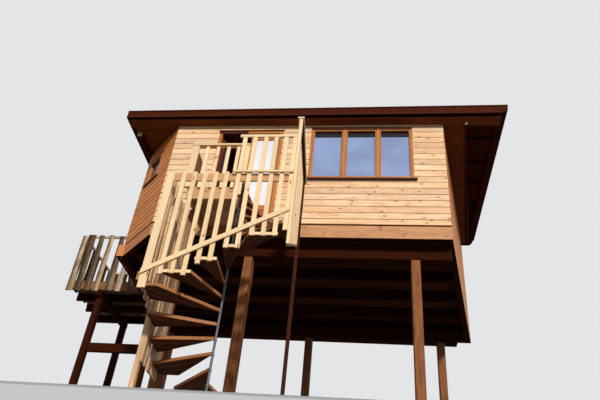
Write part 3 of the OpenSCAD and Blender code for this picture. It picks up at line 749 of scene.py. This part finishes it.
# ------------------------------------------------------------------ roof
rfx0, rfx1, rfy0, rfy1, dtop = -2960.0, 4320.0, -1285.0, 3190.0, 6150.0
mb = MB()
partA = [(-2930, rfy0 + 40), (4180, rfy0 + 40), (4180, -1030), (-2930, -1030)]
partB = [(lx - 130, -1030), (3606, -1030), (4140, ry + 60), (lx - 130, ry + 60)]
for part in (partA, partB):
    y = min(p[1] for p in part)
    top = max(p[1] for p in part)
    while y < top - 5:
        p = clip(clip(part, 0, 1, min(y + 118, top)), 0, -1, -y)
        if len(p) > 2:
            flat(mb, p, wall_top + 0.5, wall_top + 30, 4, (1, 0), edge=0.95, side_mat=lambda a, b: 1 if max(a[1], b[1]) < rfy0 + 45 else None)
        y += 120
# soffit boards in the lightened stain: painted bounce light
mb.done("soffit_boards", [SOFFIT_PAINTED_LIGHT, ROOF], "house", ("eave_board",))


def along(p, q):
    return math.dist(p, q), Matrix.Translation(Vector((p[0], p[1], 0))) @ Matrix.Rotation(math.atan2(q[1] - p[1], q[0] - p[0]), 4, "Z")


mb = MB()
LB, TB = along((3540, -1075), (4060, ry - 20))
plank(mb, 0, LB, 0, 45, wall_top + 30, wall_top + 115, 0, 3, TB)
plank(mb, -2850, -2790, -1200, ry, wall_top + 30, wall_top + 115, 1, 3)
plank(mb, 300, 380, -1200, ry, wall_top + 30, wall_top + 115, 1, 3)
# lower beams outside the side walls, fresh sawn on their front ends
plank(mb, lx - 102, lx - 7, -922, ry, wall_top - 110, wall_top, 1, 3)
plank(mb, lx - 102, lx - 7, -925, -921, wall_top - 109, wall_top - 1, 1, 1, mat=1)
LB, TB = along((3590, -1154), (4115, ry - 20))
plank(mb, 3, LB, 0, 45, wall_top - 70, wall_top, 0, 3, TB)
plank(mb, 0, 4, 0, 45, wall_top - 69, wall_top - 1, 0, 1, TB, mat=1)
mb.done("eave_beam_timbers", [ROOF, SCREEN], "house", ("eave_beams",))
mb = MB()
for y in (-1200, -535, 165, 865, 1565, 2265, 2880):
    plank(mb, rfx0 + 30, 4150, y, y + 45, wall_top + 115, dtop - 40, 0, 3)
mb.done("roof_joist_timbers", [ROOF], "house", ("roof_joists",))
mb = MB()
# boards under, then lapped sheets of covering, each sheet's edge lying on the next
y = rfy0 + 30
while y < rfy1 - 32:
    plank(mb, rfx0 + 30, rfx1 - 30, y, min(y + 148, rfy1 - 30), dtop - 40, dtop - 19, 0, 2.5, mat=1)
    y += 150
y, i = rfy0 + 30, 0
while y < rfy1 - 60:
    y1 = min(y + 1000, rfy1 - 30)
    pts = [(y, dtop - 19), (y1, dtop - 19), (y1, dtop - 11), (y + 80, dtop - 9), (y + 78, dtop - 4), (y, dtop - 5)]
    loft(mb, [[(xx, a, b) for a, b in pts] for xx in (rfx0 + 30, rfx1 - 30)], lambda p: p, lambda p: p, 0.5, 0)
    y = y1 - 40 if y1 < rfy1 - 31 else y1
    i += 1
mb.done("roof_covering_sheets", [FELT, ROOF], "house", ("roof_deck",))


def cut_board(mb, pts, y0, y1, mat=0, b=3.0, tone=None):
    """An upright board parallel to the front, cut to a convex outline of (x, z) points."""
    pts = ccw(pts)
    small = inset(pts, b)
    loft(mb, [[(x, yy, z) for x, z in (small if k in (0, 3) else pts)] for k, yy in enumerate((y1, y1 - b, y0 + b, y0))],
         lambda p: p, lambda p: (p[0], p[2], p[1]), tone, mat)


outline = [(rfx0, 5968), (4195, 5995), (4258, 6044), (rfx1, 6170), (rfx1, 6200), (rfx0, dtop)]
mb = MB()
cut_board(mb, outline, rfy0, rfy0 + 30)
cut_board(mb, [(rfx0, 5970), (4180, 5997), (4196, 6012), (rfx0, 5987)], rfy0 - 12, rfy0 + 1, 1, 2.0)
cut_board(mb, [(rfx0, dtop - 32), (4302, 6168), (rfx1, 6197), (rfx0, dtop - 2)], rfy0 - 10, rfy0 + 1, 0, 2.0)
mb.done("front_fascia_board", [ROOF, LIP], "house", ("front_fascia",))
mb = MB()
cut_board(mb, outline, rfy1 - 30, rfy1)
mb.done("rear_fascia_board", [ROOF], "house", ("rear_fascia",))
mb = MB()
plank(mb, rfx0, rfx0 + 30, rfy0 + 30, rfy1 - 30, 5968, dtop, 1, 3)
plank(mb, rfx1 - 30, rfx1, rfy0 + 30, rfy1 - 30, 6120, 6200, 1, 3)
plank(mb, 4150, 4180, rfy0 + 30, rfy1 - 30, 5995, dtop - 40, 1, 3)
mb.done("side_fascia_boards", [ROOF], "house", ("side_fascias",))

# ------------------------------------------------------------------ stair
well = [(wl(wy0), wy0), (wr(wy0), wy0), (wr(wy1), wy1), (wl(wy1), wy1)]
mb = MB()
for i, a1 in enumerate(EDGE):
    a0 = a1 - WEDGE[i]
    z = (i + 1) * rise
    dr = lambda a: (math.cos(math.radians(a)), math.sin(math.radians(a)))
    d0, dm, d1 = dr(a0), dr((a0 + a1) / 2), dr(a1)
    poly = [(px_ + r * d[0], py_ + r * d[1]) for r, d in ((16.6, d0), (2600, d0), (2600, dm), (2600, d1), (16.6, d1))]
    for k in range(4):
        p, q = well[k], well[(k + 1) % 4]
        nx, ny = q[1] - p[1], -(q[0] - p[0])
        n = math.hypot(nx, ny)
        poly = clip(poly, nx / n, ny / n, (nx * p[0] + ny * p[1]) / n)
    # boards run beside the rear edge
    nx, ny = -d1[1], d1[0]
    base = nx * px_ + ny * py_
    off = 0.0
    while off < 1300:
        w = 132.0
        part = clip(clip(poly, nx, ny, base - off), -nx, -ny, -(base - off - w + 3))
        if len(part) > 2:
            # undersides in the darker timber: painted shade under each tread
            flat(mb, part, z - tread_t, z, 4, d1, mat=0, low_mat=1, edge=0.25, side_mat=lambda a, b, m=2 if i > 6 else 3: m if max(a[1], b[1]) < wy0 + 2 else None)
        off += w
mb.done("stair_tread_boards", [TREAD, BELOW_PAINTED_SHADE, SCREEN, TREAD_END], "house", ("stair_treads",))


def turned(mb, prof, mat):
    loft(mb, [[(z, px_ + rr * math.cos(a), py_ + rr * math.sin(a)) for a in (k * math.pi / 16 for k in range(32))] for z, rr in prof],
         lambda p: (p[1], p[2], p[0]), lambda p: p, 0.5, mat)


# centre pole with a collar under every tread, its upper length dark brown
mb = MB()
turned(mb, [(0, 14.5), (1.5, 16), (2900, 16)], 0)
turned(mb, [(2900, 16), (18 * rise - 1.5, 16), (18 * rise, 14.5)], 1)
for i in range(18):
    z = (i + 1) * rise - tread_t
    turned(mb, [(z - 16, 17), (z - 14, 22), (z - 2, 22), (z - 0.5, 20)], 0 if z < 2900 else 1)
mb.done("stair_pole_tube", [STEEL, POLE_DARK_TOP], "house", ("stair_pole",), smooth=False)
bw, bt, bp = 60.0, 25.0, 146.5
feet = [8, 8, 8, 9, 9, 10, 10, 11, 11, 11, 12]
foot_d = [32, 21, 43, 69, 27, 20, 20, 20, 22, 20, 122]
bat_x = [-700 + bp * i for i in range(5)] + [52, 196, 352, 497, 640, 764]
mb = MB()
sb = MB()
for i in range(11):
    x = bat_x[i]
    top = 3020 if i < 5 else 3656
    plank(mb, x, x + bw, wy0 - bt, wy0, under(feet[i]) - foot_d[i], top, 2, 3, wob=2.0)
    screws(sb, [(x + 18, wy0 - bt - 0.2, 2945 + rng.uniform(-22, 22)), (x + 42, wy0 - bt - 0.2, 2945 + rng.uniform(-22, 22))], (0, -1, 0))
plank(mb, -800, 790, wy0, wy0 + 25, 2880, 3010, 0, 3, mat=1)
plank(mb, 0, 826, wy0 - bt - 25, wy0 - bt, 2998, 3035, 0, 4)
plank(mb, 6, 820, -3167, -3137, 3656, 3706, 0, 4)
# rail that climbs across the battens
pts = [(-905, 1410), (826, 2376), (826, 2450), (-905, 1484)]
loft(mb, [[(x, yy, z) for x, z in inset(pts, 3)] for yy in (wy0 - bt,)] +
     [[(x, yy, z) for x, z in pts] for yy in (wy0 - bt - 3, wy0 - bt - 20.5)] +
     [[(x, yy, z) for x, z in inset(pts, 3)] for yy in (wy0 - bt - 23.5,)],
     lambda p: p, lambda p: (p[0] * 0.866 + p[2] * 0.5, -p[0] * 0.5 + p[2] * 0.866, p[1]), None, 0)
for i in range(1, 11):
    x = bat_x[i] + 30
    z = 1447 + (x + 905) / 1731 * 966
    screws(sb, [(x, wy0 - bt - 23.7, z)], (0, -1, 0))
mb.done("front_screen_battens", [SCREEN, TAN], "house", ("front_screen",))
mb = MB()
plank(mb, -905, -805, wy0 - bt, wy0, 1235, 3020, 2, 3)
plank(mb, -940, -905, wy0 - bt, wy0, 1336, 1447, 1, 3, mat=1)
mb.done("corner_plank_board", [SCREEN, RIM], "house", ("corner_plank",))
aS = math.atan(skew)
TRS = Matrix.Translation(Vector((826, wy0, 0))) @ Matrix.Rotation(aS, 4, "Z")
TLS = Matrix.Translation(Vector((-840, wy0, 0))) @ Matrix.Rotation(aS, 4, "Z")
mb = MB()
plank(mb, 0, 45, -25, 45, 1887, 4010, 2, 3, TRS)
for j in range(8):
    y = 175 + 140 * j
    plank(mb, 0, bt, y, y + bw, 1890 + 0.62 * (y + 30), 4010, 2, 3, TRS, wob=2.0)
    p = TRS @ Vector((-0.2, y + 30, 3900))
    screws(sb, [tuple(p)], (-1, 0, 0))
# a dark strip under the handrail outside the battens: painted shade under the rail
plank(mb, bt, bt + 25, 45, 1262, 3880, 4005, 1, 3, TRS, mat=1)
plank(mb, -30, 65, -35, 1500, 4010, 4045, 1, 5, TRS)
mb.done("right_screen_battens", [SCREEN, BEAM_PAINTED_SHADE], "house", ("right_screen",))
mb = MB()
left_feet = [1230, 1190, 1150, 1105, 576, 576, 576, 576, 576]
for j in range(9):
    y = 20 + 150 * j
    plank(mb, -bt, 0, y, y + (130 if j > 5 else 75), left_feet[j], 3020, 2, 3, TLS, wob=2.0)
plank(mb, -bt - 25, -bt, 10, 1330, 2880, 3010, 1, 3, TLS)
plank(mb, -bt - 25, -bt, 10, 1330, 1300, 1380, 1, 3, TLS)
mb.done("left_screen_battens", [SHADED], "house", ("left_screen",))
mb = MB()
plank(mb, -95, 0, 1352, 1442, 0, 3370, 2, 5, TLS)
plank(mb, -85, -25, 612, 690, 0, 1300, 2, 4, TLS, mat=1)
plank(mb, 0, 50, 1262, 1312, 0, 4010, 2, 4, TRS, mat=2)
mb.done("stair_post_timbers", [POST, SHADED, DARK_POST], "house", ("stair_posts",))

# ------------------------------------------------------------------ landing
mb = MB()
y = -2135.0
while y < fy - 5:
    plank(mb, -990, -170, y, min(y + 116, fy), 3538, 3568, 0, 3, mat=0)
    y += 119
cut_board(mb, [(-1020, 3538), (-1000, 3335), (-168, 3335), (-168, 3538)], -2135, -2105, tone=0.5)
cut_board(mb, [(-168, 3384), (-110, 3384), (-110, 3538), (-168, 3538)], -2135, -2105, tone=0.5)
# the right post's foot below the deck in brown: painted shade under the landing
plank(mb, -180, -110, -2135, -2105, 3145, 3334.5, 2, 3, mat=2)
plank(mb, -990, -945, -2105, fy, 3370, 3538, 1, 3)
plank(mb, -215, -170, -2105, fy, 3395, 3538, 1, 3)
mb.done("landing_deck_boards", [TAN, SCREEN, BROWN], "house", ("landing_deck",))
mb = MB()
plank(mb, -1080, -110, -2190, -2100, 4400, 4440, 0, 5)
plank(mb, -1065, -960, -2180, -2135, 3538, 4400, 2, 4)
plank(mb, -210, -110, -2180, -2135, 3390, 4400, 2, 4)
for x in (-845, -670, -495, -330):
    plank(mb, x, x + 55, -2163, -2135, 3538, 4400, 2, 3, wob=1.5)
plank(mb, -985, -960, -2135, -2063, 3568, 4290, 2, 3, mat=1)
plank(mb, -985, -960, -2060, -1885, 3568, 4290, 2, 3, mat=2)
screws(sb, [(x, -2180.2, z) for x in (-185, -140) for z in (3450, 3510)], (0, -1, 0), 6)
mb.done("landing_rail_timbers", [SCREEN, BROWN, BROWN], "house", ("landing_railing",))
sb.done("screen_screws", [SCREWS], "house")

# ------------------------------------------------------------------ side deck with rough slabs
rdx0, rdx1, rdy0, rdy1, rdz = -4290.0, lx - 55, 915.0, 2515.0, 3520.0
mb = MB()
x = rdx0
while x < rdx1 - 5:
    plank(mb, x, min(x + 118, rdx1), rdy0, rdy1, rdz - 30, rdz, 1, 3)
    x += 122
mb.done("side_deck_boards", [SLAB], "house", ("rear_deck_boards",))
mb = MB()
# deck frame in the dark timber as painted shade under the deck, the front joist in brown
for y in (rdy0, rdy0 + 500, rdy0 + 1000, rdy1 - 60):
    plank(mb, rdx0, rdx1, y, y + 60, rdz - 190, rdz - 30, 0, 4, mat=1 if y == rdy0 else 0)
plank(mb, -3640, -3520, rdy0, rdy1, rdz - 310, rdz - 190, 1, 5)
for y in (1000, 2380):
    plank(mb, -3640, -3520, y, y + 120, 0, rdz - 310, 2, 7)
plank(mb, -3520, -2415, 1020, 1100, 2080, 2250, 0, 5)
plank(mb, -2415, -2295, 1000, 1120, 0, rim_z, 2, 7)
mb.done("side_deck_frame_timbers", [BEAM_PAINTED_SHADE, BROWN], "house", ("rear_deck_frame",))


def ccw_ring(r):
    a = sum(r[i - 1][1] * r[i][2] - r[i][1] * r[i - 1][2] for i in range(len(r)))
    return r if a > 0 else r[::-1]


def slab(mb, edges, z0, z1, T, mat, round_top=False):
    """One slab with waney edges, sawn flat at the back and left round in front; edges(z) gives its two sides."""
    seed = rng.random() * 90
    m = 16
    rings = []
    for q in range(m + 1):
        z = z0 + (z1 - z0) * q / m
        nl = noise.noise(Vector((seed, z * 0.004, 0.0)))
        nr = noise.noise(Vector((seed + 31, z * 0.004, 0.0)))
        nt = noise.noise(Vector((seed + 57, z * 0.006, 0.0)))
        a, b = edges(z)
        k = min(1.0, (b - a) / 60)
        a, b = a + max(0, nl * 12 + 1) * k, b - max(0, nr * 12 + 1) * k
        th = (24 + nt * 5) * (0.4 + 0.6 * k)
        row = [(a, 0.0), (b, 0.0), (b, -th * 0.28), (b - (b - a) * 0.16, -th * 0.8), ((a + b) / 2 + (b - a) * 0.12, -th), ((a + b) / 2 - (b - a) * 0.12, -th), (a + (b - a) * 0.16, -th * 0.8), (a, -th * 0.28)]
        rings.append(ccw_ring([(z, x, y) for x, y in row]))
    loft(mb, rings, lambda p: tuple(T @ Vector((p[1], p[2], p[0]))), lambda p: (p[0], p[1], p[2]), None, mat,
         dirt_and_shade=lambda r, i_: 0.85 if i_ % 8 in (1, 2, 6, 7) else 0.0)


def slab_row(name, L, T, node, rail0, rail1):
    mb = MB()
    pitch = L / 7
    for i in range(7):
        w = pitch * (0.62 + 0.1 * math.sin(math.radians(97 * i)))
        x0 = i * pitch + 4
        slab(mb, lambda z, x0=x0, w=w: (x0, x0 + w), rdz - 60, rdz + 1090 + 12 * math.sin(math.radians(53 * i)), T, 0)
    plank(mb, rail0, rail1, 0, 35, rdz + 1040, rdz + 1095, 0, 5, T, mat=1)
    mb.done(name, [SLAB, SLAB_PALE], "house", (node,))


front_slabs = [[(-4297, 3290), (-4157, 3290), (-4202, 4620), (-4318, 4600)], [(-4120, 3285), (-3981, 3290), (-4027, 4635), (-4189, 4625)],
               [(-3917, 3300), (-3787, 3295), (-3829, 4615), (-3945, 4625)], [(-3728, 3285), (-3604, 3290), (-3612, 4630), (-3721, 4620)],
               [(-3482, 3300), (-3303, 3305), (-3379, 4610), (-3482, 4600)], [(-3251, 3290), (-3143, 3295), (-3118, 3810), (-3225, 3958), (-3246, 3810)],
               [(-2993, 3285), (-2851, 3290), (-2864, 3525), (-2925, 3560), (-3067, 3738)]]


def sides_of(poly):
    def at(z):
        xs = []
        for i in range(len(poly)):
            p, q = poly[i - 1], poly[i]
            if (p[1] - z) * (q[1] - z) <= 0 and p[1] != q[1]:
                xs.append(p[0] + (q[0] - p[0]) * (z - p[1]) / (q[1] - p[1]))
        a, b = min(xs), max(xs)
        return (a, b) if b - a > 4 else ((a + b) / 2 - 2, (a + b) / 2 + 2)
    return at


mb = MB()
TS = Matrix.Translation(Vector((0, rdy0, 0)))
for i, poly in enumerate(front_slabs):
    zs = sorted(p[1] for p in poly)
    slab(mb, sides_of(poly), zs[1], zs[-2] if i < 5 else zs[-1] - 3, TS, 1 if i == 5 else 2 if i in (0, 3) else 0)
plank(mb, rdx0, lx, rdy0, rdy0 + 35, rdz + 1040, rdz + 1095, 0, 5, mat=1)
mb.done("slab_rail_front_boards", [SLAB, SLAB_PALE, SLAB_MIXED], "house", ("slab_rail_front",))
rl = rdx1 - rdx0
slab_row("slab_rail_left_boards", 1600.0, Matrix.Translation(Vector((rdx0, rdy1, 0))) @ Matrix.Rotation(math.radians(-90), 4, "Z"), "slab_rail_left", 0.0, 1565.0)
slab_row("slab_rail_rear_boards", rl, Matrix.Translation(Vector((rdx1, rdy1, 0))) @ Matrix.Rotation(math.radians(180), 4, "Z"), "slab_rail_rear", -55.0, rl - 35)

# ------------------------------------------------------------------ floor, light and camera
def pad(name, z, shade_seen, shade_else, glow):
    """A plain pale sheet; what it throws back onto the timber is kept low."""
    me = bpy.data.meshes.new(name)
    me.from_pydata([(-9, -3.3, z), (9, -3.3, z), (9, 9, z), (-9, 9, z)], [], [(0, 1, 2, 3)])
    o = bpy.data.objects.new(name, me)
    scene.collection.objects.link(o)
    m = Nodes(name)
    tc = m.new("ShaderNodeTexCoord").outputs["Object"]
    lp_ = m.new("ShaderNodeLightPath").outputs["Is Camera Ray"]
    n = m.noise(tc, 1.2, 3.0)
    seen_c = m.mix(n, (shade_seen, shade_seen, shade_seen * 0.98, 1), (shade_seen * 1.05, shade_seen * 1.05, shade_seen * 1.03, 1))
    m.link(m.mix(lp_, (shade_else, shade_else, shade_else, 1), seen_c), m.p.inputs["Base Color"])
    m.p.inputs["Roughness"].default_value = 0.95
    m.p.inputs["Specular IOR Level"].default_value = 0.0
    if glow:
        m.p.inputs["Emission Color"].default_value = (0.86, 0.87, 0.88, 1)
        m.p.inputs["Emission Strength"].default_value = glow
    me.materials.append(m.mat)


pad("studio_floor", -0.002, 0.74, 0.26, 0.0)
pad("studio_floor_back", -0.03, 0.3, 0.05, 0.62)

world = bpy.data.worlds.new("studio")
scene.world = world
world.use_nodes = True
wt_ = world.node_tree
wt_.nodes.clear()
wo = wt_.nodes.new("ShaderNodeOutputWorld")
bg = wt_.nodes.new("ShaderNodeBackground")
seen = wt_.nodes.new("ShaderNodeBackground")
mixw = wt_.nodes.new("ShaderNodeMixShader")
lp = wt_.nodes.new("ShaderNodeLightPath")
# soft light from above and the front, little from below
geo = wt_.nodes.new("ShaderNodeTexCoord")
sepw = wt_.nodes.new("ShaderNodeSeparateXYZ")
rmp = wt_.nodes.new("ShaderNodeMapRange")
wt_.links.new(geo.outputs["Generated"], sepw.inputs[0])
wt_.links.new(sepw.outputs[2], rmp.inputs[0])
rmp.inputs[1].default_value, rmp.inputs[2].default_value = -0.25, 0.25
rmp.inputs[3].default_value, rmp.inputs[4].default_value = 0.1, 0.62
bg.inputs[0].default_value = (0.9, 0.94, 1.0, 1)
wt_.links.new(rmp.outputs[0], bg.inputs[1])
seen.inputs[0].default_value = (0.86, 0.87, 0.88, 1)
seen.inputs[1].default_value = 0.9
wt_.links.new(lp.outputs["Is Camera Ray"], mixw.inputs[0])
wt_.links.new(bg.outputs[0], mixw.inputs[1])
wt_.links.new(seen.outputs[0], mixw.inputs[2])
wt_.links.new(mixw.outputs[0], wo.inputs[0])

sun = bpy.data.objects.new("key_light", bpy.data.lights.new("key_light", "SUN"))
sun.data.energy = 3.1
sun.data.angle = math.radians(4)
sun.data.color = (1.0, 0.965, 0.92)
el = math.radians(30)
az = math.radians(20)
to_sun = Vector((math.sin(az) * math.cos(el), -math.cos(az) * math.cos(el), math.sin(el)))
sun.rotation_euler = to_sun.to_track_quat("Z", "Y").to_euler()
scene.collection.objects.link(sun)

P, R, A = math.radians(36.7), math.radians(-5.85), math.radians(-8.95)
fh_ = Vector((math.sin(A), math.cos(A), 0))
rh_ = Vector((math.cos(A), -math.sin(A), 0))
up = Vector((0, 0, 1))
fwd = fh_ * math.cos(P) + up * math.sin(P)
u_ = -fh_ * math.sin(P) + up * math.cos(P)
right = rh_ * math.cos(R) - u_ * math.sin(R)
up2 = rh_ * math.sin(R) + u_ * math.cos(R)
cam = bpy.data.objects.new("camera", bpy.data.cameras.new("camera"))
cam.data.sensor_width = 36.0
cam.data.lens = 583.0 / 600.0 * 36.0
cam.data.clip_end = 200
cam.matrix_world = Matrix(((right.x, up2.x, -fwd.x, 1.880), (right.y, up2.y, -fwd.y, -9.085), (right.z, up2.z, -fwd.z, -1.920), (0, 0, 0, 1)))
scene.collection.objects.link(cam)
scene.camera = cam
scene.view_settings.view_transform = "Standard"
scene.view_settings.look = "None"
